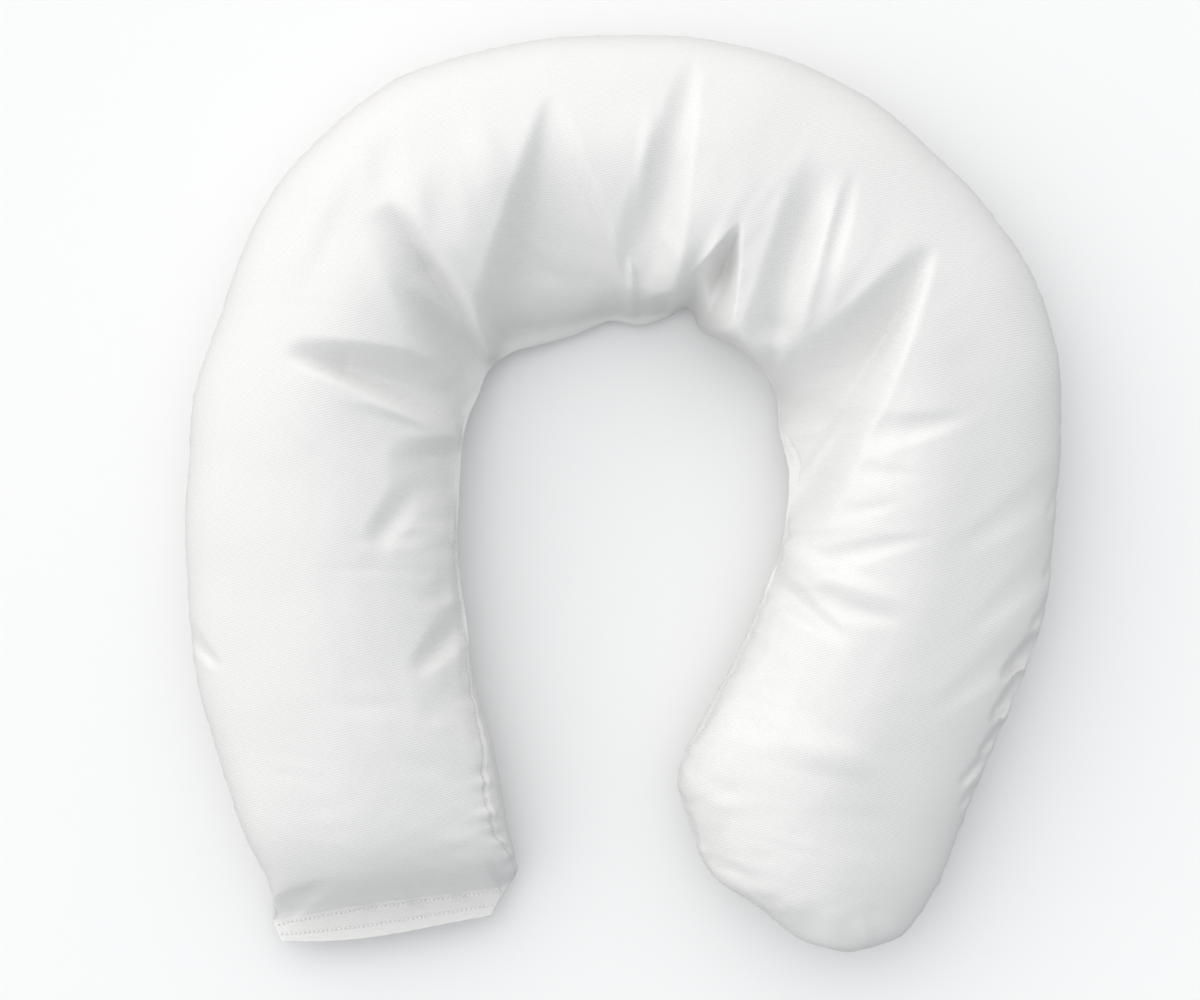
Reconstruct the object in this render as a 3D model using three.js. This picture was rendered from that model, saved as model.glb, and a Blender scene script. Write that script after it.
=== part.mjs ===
// Positioning roll pillow: a softly filled roll of tightly woven white cotton, laid in a horseshoe
// that opens towards -Y. One end is closed by a flat sewn hem, the other is blunt and rounded.
// Millimetres, +Z up. The roll lies on z = 0, and the origin is under the middle of its outline.

import * as THREE from "three";

// Driving dimensions of the section across the roll
const FLOOR_SINK = 8; // how far below the floor the keel of a full section would hang
const EQUATOR_SHARE = 0.45; // height of the widest line between keel and crown
const CORE_SHARE = 0.35; // height of the core that cloth is drawn in towards
const ROLL_POWER = 0.87; // section power of the filled roll: 1 is an ellipse, less is squarer
const HEM_POWER = 0.3; // section power of the flat hem

// The sewn seam along the inner edge, just above the widest line
const SEAM_ANGLE = THREE.MathUtils.degToRad(14);
const SEAM_SPREAD = THREE.MathUtils.degToRad(5);
const SEAM_DEPTH = 3.2;
const SEAM_FULL_HEIGHT = 90; // crown height from which the seam has its full depth

// Steps of the surface
const STEPS_PER_SECTION = 3;
const STEPS_OVER = 26; // from the inner edge over the crown to the outer edge
const STEPS_UNDER = 14; // from the outer edge back along the floor

// A gather narrows to this share of its width at its apex
const APEX_WIDTH = 0.35;
// A gather has its full depth from this share of its length
const FULL_DEPTH_FROM = 0.5;
// A gather dies out past its root by this share of its length
const ROOT_END = 1.2;
// Gathers fade out between the crown and this angle above an edge
const EDGE_FADE = THREE.MathUtils.degToRad(38);

// Sections across the roll, from the hem to the rounded end. inner and outer are the [x, y] of the
// roll's two edges, crown its top, and keel its lowest point before the floor flattens it.
const SECTIONS = [
  { inner: [-91, -294], outer: [-238, -313], crown: 11, keel: 8, power: HEM_POWER },
  { inner: [-80, -277], outer: [-244, -302], crown: 17, keel: 13, power: HEM_POWER },
  { inner: [-74, -268], outer: [-246, -289], crown: 34, keel: 8, power: 0.6 },
  { inner: [-76, -255], outer: [-251, -272], crown: 56, keel: -2 },
  { inner: [-80, -237], outer: [-264, -243], crown: 75, keel: -6 },
  { inner: [-84, -211], outer: [-275, -211], crown: 89 },
  { inner: [-90, -176], outer: [-286, -174], crown: 98 },
  { inner: [-101, -134], outer: [-297, -134], crown: 102 },
  { inner: [-107, -85], outer: [-303, -85], crown: 105 },
  { inner: [-113, -36], outer: [-306, -36], crown: 106 },
  { inner: [-112, 13], outer: [-304, 20], crown: 107 },
  { inner: [-108, 46], outer: [-299, 72], crown: 107 },
  { inner: [-100, 68], outer: [-281, 128], crown: 107 },
  { inner: [-93, 86], outer: [-253, 196], crown: 106 },
  { inner: [-78, 98], outer: [-214, 247], crown: 105 },
  { inner: [-58, 104], outer: [-167, 284], crown: 104 },
  { inner: [-33, 112], outer: [-114, 306], crown: 104 },
  { inner: [-8, 122], outer: [-58, 317], crown: 104 },
  { inner: [12, 119], outer: [-2, 320], crown: 104 },
  { inner: [31, 124], outer: [47, 319], crown: 104 },
  { inner: [47, 131], outer: [92, 310], crown: 104 },
  { inner: [56, 114], outer: [134, 296], crown: 104 },
  { inner: [78, 99], outer: [174, 275], crown: 105 },
  { inner: [99, 79], outer: [215, 239], crown: 106 },
  { inner: [106, 60], outer: [253, 201], crown: 107 },
  { inner: [108, 41], outer: [285, 155], crown: 108 },
  { inner: [113, 13], outer: [303, 99], crown: 108 },
  { inner: [112, -12], outer: [306, 37], crown: 108 },
  { inner: [106, -40], outer: [302, -22], crown: 107 },
  { inner: [94, -75], outer: [296, -75], crown: 106 },
  { inner: [77, -115], outer: [282, -127], crown: 104 },
  { inner: [58, -152], outer: [263, -169], crown: 102 },
  { inner: [42, -183], outer: [246, -211], crown: 99 },
  { inner: [37, -205], outer: [233, -246], crown: 94 },
  { inner: [47, -236], outer: [223, -272], crown: 86, keel: -5 },
  { inner: [62, -268], outer: [210, -294], crown: 76, keel: 3 },
  { inner: [94, -290], outer: [197, -310], crown: 65, keel: 14 },
  { inner: [124, -313], outer: [180, -317], crown: 54, keel: 27 },
  { inner: [146, -320], outer: [164, -321], crown: 46, keel: 36 },
];

// Gathers of the slack cloth. Each runs from its apex, where it dies out on the crown, to its root at
// an edge. left and right are its spread there, looking from apex to root, and depth its deepest point.
const GATHERS = [
  { apex: [-228, 105], root: [-108, 69], left: 20, right: 38, depth: 14 },
  { apex: [-166, 200], root: [-101, 85], left: 20, right: 46, depth: 13 },
  { apex: [-52, 270], root: [-64, 126], left: 72, right: 34, depth: 14 },
  { apex: [44, 296], root: [15, 142], left: 34, right: 22, depth: 9 },
  { apex: [84, 192], root: [52, 123], left: 24, right: 34, depth: 15 },
  { apex: [140, 223], root: [99, 100], left: 18, right: 24, depth: 7 },
  { apex: [160, 225], root: [127, 116], left: 18, right: 14, depth: 4 },
  { apex: [220, 168], root: [117, 40], left: 42, right: 44, depth: 17 },
  { apex: [182, 82], root: [115, 1], left: 26, right: 18, depth: 5 },
  { apex: [-172, 31], root: [-113, 20], left: 18, right: 26, depth: 6 },
  { apex: [-186, -26], root: [-118, -16], left: 24, right: 18, depth: 4 },
  { apex: [-146, -117], root: [-108, -86], left: 16, right: 18, depth: 6 },
];

const { clamp, lerp, smoothstep } = THREE.MathUtils;

// A smooth curve through one column of the section table; all such curves share one parameter.
function curveThrough(pick) {
  return new THREE.CatmullRomCurve3(SECTIONS.map(pick));
}

const innerEdge = curveThrough(({ inner: [x, y] }) => new THREE.Vector3(x, y, 0));
const outerEdge = curveThrough(({ outer: [x, y] }) => new THREE.Vector3(x, y, 0));
const profile = curveThrough(
  ({ crown, keel = -FLOOR_SINK, power = ROLL_POWER }) => new THREE.Vector3(crown, keel, power),
);

// How far a gather draws the cloth in at a point of the plan: a trough that widens from its apex.
function gatherDepth({ apex, root, left, right, depth }, x, y) {
  const alongX = root[0] - apex[0];
  const alongY = root[1] - apex[1];
  const length = Math.hypot(alongX, alongY);
  const share = ((x - apex[0]) * alongX + (y - apex[1]) * alongY) / length ** 2;
  const aside = (alongX * (y - apex[1]) - alongY * (x - apex[0])) / length;
  const spread = (aside > 0 ? left : right) * lerp(APEX_WIDTH, 1, clamp(share, 0, 1));
  const across = Math.min(Math.abs(aside) / spread, 1);
  const along = smoothstep(share, 0, FULL_DEPTH_FROM) * (1 - smoothstep(share, 1, ROOT_END));
  return depth * along * (1 - across ** 2) ** 2;
}

// cos or sin raised to the section's power, with its sign kept.
function powered(value, power) {
  return Math.sign(value) * Math.abs(value) ** power;
}

// A point of the surface: share runs from the hem to the rounded end, angle from the inner edge over
// the crown to the outer edge and back underneath.
function surfacePoint(share, angle) {
  const inner = innerEdge.getPoint(share);
  const outer = outerEdge.getPoint(share);
  const { x: crown, y: keel, z: power } = profile.getPoint(share);
  const equator = lerp(keel, crown, EQUATOR_SHARE);
  const height = powered(Math.sin(angle), power);
  const point = inner.clone().lerp(outer, (1 - powered(Math.cos(angle), power)) / 2);
  point.z = equator + (height > 0 ? crown - equator : equator - keel) * height;

  const core = inner.clone().lerp(outer, 0.5);
  core.z = lerp(keel, crown, CORE_SHARE);
  const aboveEdge = smoothstep(Math.sin(angle), 0, Math.sin(EDGE_FADE));
  const gathered = GATHERS.reduce((sum, row) => sum + gatherDepth(row, point.x, point.y), 0);
  const seamShare = Math.exp(-(((angle - SEAM_ANGLE) / SEAM_SPREAD) ** 2));
  const seam = SEAM_DEPTH * seamShare * smoothstep(crown, 0, SEAM_FULL_HEIGHT);
  const inward = core.sub(point).normalize();
  point.addScaledVector(inward, gathered * aboveEdge + seam);
  point.z = Math.max(point.z, 0);
  return point;
}

// The angles of one ring, closer together over the crown than underneath.
function ringAngles() {
  const over = Array.from({ length: STEPS_OVER }, (_, i) => (Math.PI * i) / STEPS_OVER);
  const under = Array.from({ length: STEPS_UNDER }, (_, i) => Math.PI * (1 + i / STEPS_UNDER));
  return [...over, ...under];
}

// A closed surface through the rings, each end closed by a fan from its middle.
function loft(rings) {
  const count = rings[0].length;
  const middle = (ring) =>
    ring.reduce((sum, point) => sum.add(point), new THREE.Vector3()).divideScalar(count);
  const points = [...rings.flat(), middle(rings[0]), middle(rings.at(-1))];
  const firstMiddle = points.length - 2;
  const lastMiddle = points.length - 1;
  const lastRing = (rings.length - 1) * count;
  const triangles = [];
  for (let j = 0; j < count; j++) {
    const next = (j + 1) % count;
    for (let start = 0; start < lastRing; start += count) {
      const far = start + count;
      triangles.push(start + j, far + j, far + next);
      triangles.push(start + j, far + next, start + next);
    }
    triangles.push(firstMiddle, j, next);
    triangles.push(lastMiddle, lastRing + next, lastRing + j);
  }
  const geometry = new THREE.BufferGeometry().setFromPoints(points);
  geometry.setIndex(triangles);
  return geometry;
}

// The casing with its filling, hem and seam: one closed solid.
function rollGeometry() {
  const steps = (SECTIONS.length - 1) * STEPS_PER_SECTION;
  const angles = ringAngles();
  const rings = Array.from({ length: steps + 1 }, (_, i) =>
    angles.map((angle) => surfacePoint(i / steps, angle)),
  );
  const geometry = loft(rings);
  geometry.computeBoundingBox();
  const centre = geometry.boundingBox.getCenter(new THREE.Vector3());
  geometry.translate(-centre.x, -centre.y, 0);
  geometry.computeVertexNormals();
  return geometry;
}

const whiteCotton = new THREE.MeshStandardMaterial({
  color: 0xf1efea,
  roughness: 0.6,
  metalness: 0,
});

const rollPillow = new THREE.Mesh(rollGeometry(), whiteCotton);
rollPillow.name = "roll_pillow";

const pillow = new THREE.Group();
pillow.add(rollPillow);

export default pillow;
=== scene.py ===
"""A softly filled roll of white cotton twill, laid in a horseshoe and seen from above.

Two panels are sewn together round the outline, filled, and closed by a flat hem with two rows of stitches. The
casing is one surface worked out with numpy and settled by a cloth simulation. Tables are in millimetres, and
meshes in metres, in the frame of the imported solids.
"""

import logging
import math
from dataclasses import astuple, dataclass, field
from enum import Enum
from functools import partial

import bpy
import numpy as np
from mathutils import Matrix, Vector


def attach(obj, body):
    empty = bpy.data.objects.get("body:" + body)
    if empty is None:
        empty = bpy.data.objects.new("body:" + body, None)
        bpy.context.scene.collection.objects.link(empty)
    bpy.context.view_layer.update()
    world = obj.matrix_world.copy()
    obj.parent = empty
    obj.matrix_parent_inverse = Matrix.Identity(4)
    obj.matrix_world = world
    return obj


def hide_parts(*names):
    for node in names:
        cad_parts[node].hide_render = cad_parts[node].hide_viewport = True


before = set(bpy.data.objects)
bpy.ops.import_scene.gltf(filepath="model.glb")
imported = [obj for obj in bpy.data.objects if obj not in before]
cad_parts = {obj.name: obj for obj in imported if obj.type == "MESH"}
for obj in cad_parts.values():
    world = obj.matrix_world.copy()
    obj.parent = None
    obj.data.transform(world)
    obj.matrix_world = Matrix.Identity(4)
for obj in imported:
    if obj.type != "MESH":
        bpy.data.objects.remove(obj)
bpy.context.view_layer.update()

LOG = logging.getLogger("roll_pillow")
MM = 0.001
BODY = "root"
PANEL = "panel"
TURN = 2 * math.pi
TINY = 1e-6

Pair = tuple[float, float]
Triple = tuple[float, float, float]
Inputs = dict[str | int, object]


@dataclass(frozen=True)
class Section:
    """One section across the roll.

    inner and outer are the places of its two edges, crown its top and keel its lowest point before the floor
    flattens it. The upper side falls from the crown like a roof: in_pitch and out_pitch are the shares of the
    crown's height that are lost on the way to an edge, and soft is how wide the ridge is rounded. The rest is lost
    in the walls at the two edges, which are the more upright the larger in_wall and out_wall are. crest is the
    share of the width, from the inner edge, where the crown is, and in_rise the share of the height where the
    inner edge is.
    """

    inner: Pair
    outer: Pair
    crown: float
    keel: float = -8.0
    in_pitch: float = 0.55
    out_pitch: float = 0.52
    soft: float = 0.4
    in_wall: float = 8.0
    out_wall: float = 7.0
    crest: float = 0.5
    in_rise: float = 0.45

    @classmethod
    def even(cls, inner: Pair, outer: Pair, crown: float, keel: float, pitch: float, wall: float) -> "Section":
        """A section with one pitch and one wall on both sides."""
        return cls(inner, outer, crown, keel, pitch, pitch, in_wall=wall, out_wall=wall)


SECTIONS = (
    Section.even((-93, -299), (-241, -317), 25.5, 23, 0, 30),
    Section.even((-83, -281), (-248, -306), 16, 11.5, 0, 30),
    Section.even((-80, -277), (-248, -301), 20, 10, 0.02, 24),
    Section.even((-75, -269), (-248, -291), 42, 6, 0.1, 11),
    Section.even((-76, -255), (-251, -272), 68, -3, 0.2, 8),
    Section((-80, -237), (-264, -243), 86, -7, in_pitch=0.3, out_pitch=0.3),
    Section((-84, -211), (-275, -211), 95, in_pitch=0.4, out_pitch=0.4),
    Section((-90, -176), (-286, -174), 100, in_pitch=0.48, out_pitch=0.47),
    Section((-101, -134), (-297, -134), 103),
    Section((-107, -85), (-303, -85), 105),
    Section((-113, -36), (-306, -36), 106.5),
    Section((-112, 13), (-304, 20), 107, in_rise=0.42),
    Section((-108, 46), (-299, 72), 107, in_pitch=0.6, in_wall=6, in_rise=0.36),
    Section((-100, 68), (-281, 128), 107, in_pitch=0.6, in_wall=6, in_rise=0.3),
    Section((-93, 86), (-253, 196), 106, in_pitch=0.58, in_wall=7, in_rise=0.24),
    Section((-78, 98), (-214, 247), 105, in_pitch=0.5, out_pitch=0.46, in_wall=6, in_rise=0.2),
    Section((-58, 104), (-167, 284), 104, in_pitch=0.42, out_pitch=0.46, in_wall=5.5, crest=0.53, in_rise=0.16),
    Section((-33, 112), (-114, 306), 104, in_pitch=0.36, out_pitch=0.46, in_wall=5.5, crest=0.55, in_rise=0.15),
    Section((-8, 122), (-58, 317), 104, in_pitch=0.32, out_pitch=0.46, in_wall=5.5, crest=0.56, in_rise=0.15),
    Section((12, 119), (-2, 320), 104, in_pitch=0.27, out_pitch=0.46, in_wall=6.5, crest=0.56, in_rise=0.15),
    Section((31, 124), (47, 319), 104, in_pitch=0.16, out_pitch=0.46, in_wall=8, crest=0.55, in_rise=0.15),
    Section((47, 131), (92, 310), 104, in_pitch=0.14, out_pitch=0.46, in_wall=8, crest=0.54, in_rise=0.15),
    Section((56, 114), (134, 296), 104, in_pitch=0.1, out_pitch=0.46, in_wall=24, crest=0.53, in_rise=0.2),
    Section((78, 99), (174, 275), 105, in_pitch=0.15, out_pitch=0.48, in_wall=28, in_rise=0.62),
    Section((99, 79), (215, 239), 106, in_pitch=0.42, out_pitch=0.48, in_wall=9, in_rise=0.48),
    Section((106, 60), (253, 201), 107, out_pitch=0.5, soft=0.34, in_wall=6, in_rise=0.24),
    Section((108, 41), (285, 155), 108, soft=0.3, in_wall=7, in_rise=0.3),
    Section((113, 13), (303, 99), 108, soft=0.34),
    Section((112, -12), (306, 37), 108, soft=0.32),
    Section((106, -40), (302, -22), 107, soft=0.32),
    Section((94, -75), (296, -75), 106, soft=0.3),
    Section((77, -115), (282, -127), 104, soft=0.28),
    Section((58, -152), (263, -169), 102, soft=0.3),
    Section((42, -183), (246, -211), 99, soft=0.34),
    Section((37, -205), (233, -246), 94),
    Section.even((47, -236), (223, -272), 90, -6, 0.5, 6),
    Section.even((62, -268), (210, -294), 84, -2, 0.44, 5),
    Section.even((94, -290), (197, -310), 76, 6, 0.36, 4),
    Section.even((124, -313), (180, -317), 64, 18, 0.28, 3),
    Section.even((146, -320), (164, -321), 51, 30, 0.2, 2.5),
)


class FoldKind(Enum):
    """When a fold gets into the cloth: gathers are begun before it settles, creases and puckers come after."""

    GATHER = "gather"
    CREASE = "crease"


# How full a fold's soft flanks are, and the shares of its length where its tail begins and where it has run out
FLANK_FULLNESS = 1.2
TAIL_FROM = 0.6
PAST_ROOT = 1.25


@dataclass(frozen=True)
class Fold:
    """One fold, from its apex on the crown to its root at an edge, seen from above.

    left and right are its spread at the root, looking from apex to root, and bow how far its line bends to the
    left. A negative depth is a ridge. rim is how crisp the upper edge of each side is, from 0 to 1. narrow is the
    share of its spread that it has at its apex, and full the share of its length from which it is at full depth.
    brink is how crisp it starts, from 0 to 1, bed how widely its valley is rounded, as a share of its spread, and
    tail the share of its depth that it loses towards its root.
    """

    kind: FoldKind
    apex: Pair
    root: Pair
    left: float
    right: float
    depth: float
    bow: float = 0.0
    rim: Pair = (0.0, 0.0)
    narrow: float = 0.4
    full: float = 0.35
    brink: float = 0.0
    bed: float = 0.08
    tail: float = 0.0

    def drop(self, x: np.ndarray, y: np.ndarray) -> np.ndarray:
        """How far the fold lowers the cloth at points of the plan.

        With t the share of the way from apex to root and q the distance aside over the spread there, the drop is
        depth times a rise along t times a mix of (1 - q)^2 (1 + 1.2 q), a crisp valley with soft edges, and
        1 - q, two flat flanks with crisp edges.

        Args:
            x: Places along X.
            y: Places along Y.

        Returns:
            The drop at each point.
        """
        along_x, along_y = self.root[0] - self.apex[0], self.root[1] - self.apex[1]
        length = math.hypot(along_x, along_y)
        from_x, from_y = x - self.apex[0], y - self.apex[1]
        share = (from_x * along_x + from_y * along_y) / length**2
        within = np.clip(share, 0, 1)
        aside = (along_x * from_y - along_y * from_x) / length - self.bow * 4 * within * (1 - within)
        is_left = aside > 0
        spread = np.where(is_left, self.left, self.right) * (self.narrow + (1 - self.narrow) * within)
        q = np.minimum((np.hypot(aside / spread, self.bed) - self.bed) / (math.hypot(1, self.bed) - self.bed), 1)
        rim = np.where(is_left, *self.rim)
        across = (1 - rim) * (1 - q) ** 2 * (1 + FLANK_FULLNESS * q) + rim * (1 - q)
        start = (1 - self.brink) * eased(share, 0, self.full) + self.brink * np.clip(share / self.full, 0, 1)
        end = (1 - self.tail * eased(share, TAIL_FROM, 1)) * (1 - eased(share, 1, PAST_ROOT))
        return self.depth * start * end * across


gather = partial(Fold, FoldKind.GATHER)
crease = partial(Fold, FoldKind.CREASE)
dimple = partial(gather, bed=0.6, narrow=0.7, full=0.5, tail=1)
end_pucker = partial(crease, bed=0.6, narrow=0.7, tail=1)
hem_pucker = partial(crease, bed=0.5, narrow=0.3, full=1)

FOLDS = (
    # Gathers of the bend, from the hem side round to the rounded leg
    gather(
        (-229, 96), (-104, 57), 32, 28, 22, bow=3, bed=0.3, rim=(0.9, 0), narrow=0.3, full=0.3, brink=0.9, tail=0.15,
    ),
    gather((-163, 196), (-99, 86), 17, 49, 26, bow=8, rim=(0.3, 0.3), narrow=0.5, full=0.4, brink=1),
    gather((-159, 158), (-107, 88), 25, 25, 28, bed=0.4, rim=(0.2, 0.4), narrow=0.4, full=0.7),
    gather((-50, 271), (-64, 110), 87, 49, 30, bed=0.55, rim=(0.9, 0), narrow=0.1, full=0.74, brink=1, tail=0.15),
    gather((50, 302), (16, 146), 25, 36, 10.5, bed=0.25, narrow=0.25, full=0.5, brink=0.6),
    gather((78, 247), (43, 135), 59, 53, -11, bed=0.3, narrow=0.5, full=1),
    gather((79, 182), (57, 120), 18, 32, 44, bow=1, rim=(0.4, 0.8), narrow=0.08, full=0.45, brink=0.5),
    gather((136, 226), (105, 117), 20, 24, 17, bed=0.2, rim=(0.1, 0), narrow=0.9, full=0.5, brink=0.4, tail=0.2),
    gather((160, 226), (134, 135), 11, 14, 4, bed=0.3, narrow=0.4, full=0.5, tail=0.6),
    gather((211, 168), (123, 14), 35, 76, 36, bow=3, rim=(0, 0.35), narrow=0.14, full=0.45, brink=0.7, tail=0.15),
    gather((178, 58), (113, 37), 15, 60, 38, bed=0.06, rim=(0.6, 0), narrow=0.5, full=0.6),
    # Recesses under the gathers, along the inner edge
    gather((37, 135), (-72, 114), 49, 32, 22, bed=0.05, rim=(0, 1), narrow=0.35, full=0.3),
    gather((43, 130), (-74, 107), 28, 18, 44, bed=0.05, rim=(0, 1), narrow=0.6, full=0.15),
    gather((-86, 92), (-104, 58), 28, 20, 34, bed=0.05, rim=(0, 1), narrow=0.8, full=0.3),
    # Soft dimples on the crown of the bend
    dimple((-128, 230), (-120, 162), 21, 18, 3),
    dimple((-166, 256), (-158, 196), 18, 18, 2.4),
    dimple((-107, 263), (-78, 190), 18, 18, -2.4),
    dimple((-191, 233), (-239, 133), 21, 21, -2.4, bed=0.5, narrow=0.8, full=0.4),
    # Gathers of the two legs
    gather((-121, 40), (-118, -14), 14, 43, 17, bed=0.2, rim=(0, 0.7), narrow=0.9, full=0.25, brink=0.8, tail=0.6),
    gather((-164, 22), (-108, 18), 18, 28, 7, bed=0.2, narrow=0.6, full=0.5),
    gather((-174, -42), (-125, 18), 21, 25, 7, bow=3, bed=0.15, narrow=0.5, full=0.3, tail=0.3),
    gather((-190, -33), (-128, -26), 11, 11, 2.4, bow=-2, bed=0.2, full=0.5, tail=0.8),
    gather((-142, -73), (-107, -65), 22, 14, 4, bed=0.3, full=0.6),
    gather((-146, -126), (-107, -87), 21, 18, 11, bed=0.12, full=0.5),
    gather((-142, -156), (-107, -138), 24, 21, 1.6, bed=0.5),
    gather((241, 54), (163, 39), 17, 20, 3.6, bow=2, bed=0.25, narrow=0.25, full=0.6, tail=0.3),
    gather((218, 11), (150, 16), 11, 11, 1.2, bed=0.3, narrow=0.2, full=0.8, tail=0.6),
    gather((195, -6), (139, -12), 11, 11, 1.4, bow=2, bed=0.3, narrow=0.2, full=0.8, tail=0.6),
    gather((219, -28), (124, -51), 15, 15, 4, bow=-2, bed=0.3, narrow=0.2, full=0.8, tail=0.3),
    gather((198, -77), (114, -44), 17, 15, -5, bow=3, bed=0.2, narrow=0.4, full=0.6),
    gather((194, -89), (136, -75), 13, 11, 3.5, bed=0.15, narrow=0.5, full=0.6, tail=0.3),
    gather((156, -104), (100, -58), 18, 15, 9, bed=0.12, narrow=0.4, full=0.5),
    gather((124, -91), (90, -156), 24, 24, 5, bed=0.5, narrow=0.2, full=0.9, tail=0.2),
    gather((174, -192), (104, -163), 24, 24, -4.5, bed=0.3, narrow=0.5, full=0.6, tail=0.5),
    gather((215, -47), (296, 5), 18, 18, 1.5, bed=0.4, full=0.6),
    gather((227, -103), (292, -51), 18, 15, 1.5, bed=0.4, full=0.6),
    gather((202, -156), (268, -110), 18, 15, 1.5, bed=0.4, full=0.6),
    # Ridges and the tuft beside the gathers
    crease((-148, 183), (-92, 92), 14, 12, -11, bow=4, narrow=0.5, bed=0.2),
    crease((-205, 67), (-113, 44), 10, 10, -3, bow=2, bed=0.3, narrow=0.7, full=0.6),
    crease((-47, 261), (7, 127), 6, 6, -2, bow=1),
    crease((4, 165), (8, 124), 7, 7, -5, bed=0.15),
    crease((-214, -51), (-120, -55), 4, 4, 0.5, narrow=1, full=0.3),
    crease((19, 278), (10, 170), 8, 8, -1.6, bed=0.3, narrow=0.8, full=0.5, tail=1),
    crease((204, 138), (115, 0), 8, 7, -3.5, bow=3, full=0.2),
    # Puckers along the outer edge
    crease((-277, -122), (-302, -100), 8, 12, 4, bed=0.3),
    crease((292, -19), (303, 2), 7, 7, 2),
    crease((290, -62), (302, -45), 7, 9, 4),
    crease((280, -97), (295, -78), 7, 9, 5),
    crease((260, -130), (287, -106), 12, 13, 18),
    crease((253, -160), (278, -132), 12, 13, 20),
    crease((245, -185), (264, -164), 10, 10, 12),
    crease((231, -204), (253, -182), 8, 10, 6),
    crease((233, -220), (246, -206), 7, 8, 4),
    # Puckers round the blunt end
    crease((86, -262), (58, -256), 9, 9, 1.6, bed=0.4, narrow=0.7),
    end_pucker((108, -276), (94, -298), 11, 11, 1.2),
    end_pucker((134, -278), (124, -316), 16, 16, 0.9),
    end_pucker((158, -284), (156, -322), 16, 14, 0.8),
    end_pucker((168, -278), (184, -320), 13, 13, 1.1),
    end_pucker((72, -236), (48, -246), 13, 13, 1.1),
    # Puckers above the hem
    crease((-198, -268), (-244, -298), 13, 15, 8, bed=0.4, narrow=0.5, full=0.8),
    hem_pucker((-180, -268), (-178, -293), 9, 9, 1.8),
    hem_pucker((-148, -264), (-145, -289), 9, 9, 2.2),
    hem_pucker((-118, -264), (-114, -285), 9, 9, 1.8),
    hem_pucker((-96, -252), (-79, -280), 10, 10, 8),
)


def eased(value: np.ndarray, low: float, high: float) -> np.ndarray:
    """A smooth step from 0 at low to 1 at high: 3 t^2 - 2 t^3.

    Args:
        value: Where to take the step.
        low: Where it starts.
        high: Where it ends.

    Returns:
        The step, from 0 to 1.
    """
    t = np.clip((value - low) / (high - low), 0, 1)
    return t * t * (3 - 2 * t)


def hump(value: np.ndarray, width: float) -> np.ndarray:
    """A smooth hump of height 1 about 0: e^(-(value / width)^2)."""
    return np.exp(-((value / width) ** 2))


def unit(vectors: np.ndarray) -> np.ndarray:
    """The same directions with length 1."""
    return vectors / np.linalg.norm(vectors, axis=-1, keepdims=True)


def turned(vectors: np.ndarray, angle: np.ndarray) -> np.ndarray:
    """Vectors of the plan, each turned by its angle: x cos - y sin and x sin + y cos."""
    x, y, cosine, sine = vectors[..., 0], vectors[..., 1], np.cos(angle), np.sin(angle)
    return np.stack([x * cosine - y * sine, x * sine + y * cosine], axis=-1)


def travelled(points: np.ndarray) -> np.ndarray:
    """Each point's distance from the first, along the line through all of them."""
    return np.concatenate([[0], np.cumsum(np.linalg.norm(np.diff(points, axis=0), axis=1))])


def ring_arcs(grid: np.ndarray) -> np.ndarray:
    """Distances round each ring of a tube's grid, from its first point and back to it."""
    step = np.linalg.norm(np.roll(grid, -1, axis=1) - grid, axis=2)
    return np.concatenate([np.zeros((len(grid), 1)), np.cumsum(step, axis=1)], axis=1)


def curve_through(points: np.ndarray, share: np.ndarray) -> np.ndarray:
    """A centripetal Catmull-Rom curve: cubic pieces whose slopes follow the square roots of the gaps.

    Args:
        points: One row for each point of the curve.
        share: Places on it, as shares of the number of gaps.

    Returns:
        One row for each share.
    """
    padded = np.vstack([2 * points[0] - points[1], points, 2 * points[-1] - points[-2]])
    gaps = len(points) - 1
    index = np.clip((share * gaps).astype(int), 0, gaps - 1)
    t = (share * gaps - index)[:, None]
    before, start, end, after = (padded[index + step] for step in range(4))

    def gap(a: np.ndarray, b: np.ndarray) -> np.ndarray:
        """The square root of the distance between two rows, 1 where they coincide."""
        root = np.sqrt(np.linalg.norm(b - a, axis=1))[:, None]
        least = 0.01
        return np.where(root < least, 1.0, root)

    first, middle, last = gap(before, start), gap(start, end), gap(end, after)
    leave = ((start - before) / first - (end - before) / (first + middle) + (end - start) / middle) * middle
    arrive = ((end - start) / middle - (after - start) / (middle + last) + (after - end) / last) * middle
    rise = end - start
    return start + leave * t + (3 * rise - 2 * leave - arrive) * t**2 + (leave + arrive - 2 * rise) * t**3


def normals_of(grid: np.ndarray) -> np.ndarray:
    """Outward unit normals of a tube's grid: the cross product of its steps along and around.

    Args:
        grid: Points by station, then by angle.

    Returns:
        One unit vector for each point.
    """
    along = np.gradient(grid, axis=0)
    around = np.roll(grid, -1, axis=1) - np.roll(grid, 1, axis=1)
    normal = np.cross(along, around)
    least = 1e-9
    return normal / (np.linalg.norm(normal, axis=2, keepdims=True) + least)


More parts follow.
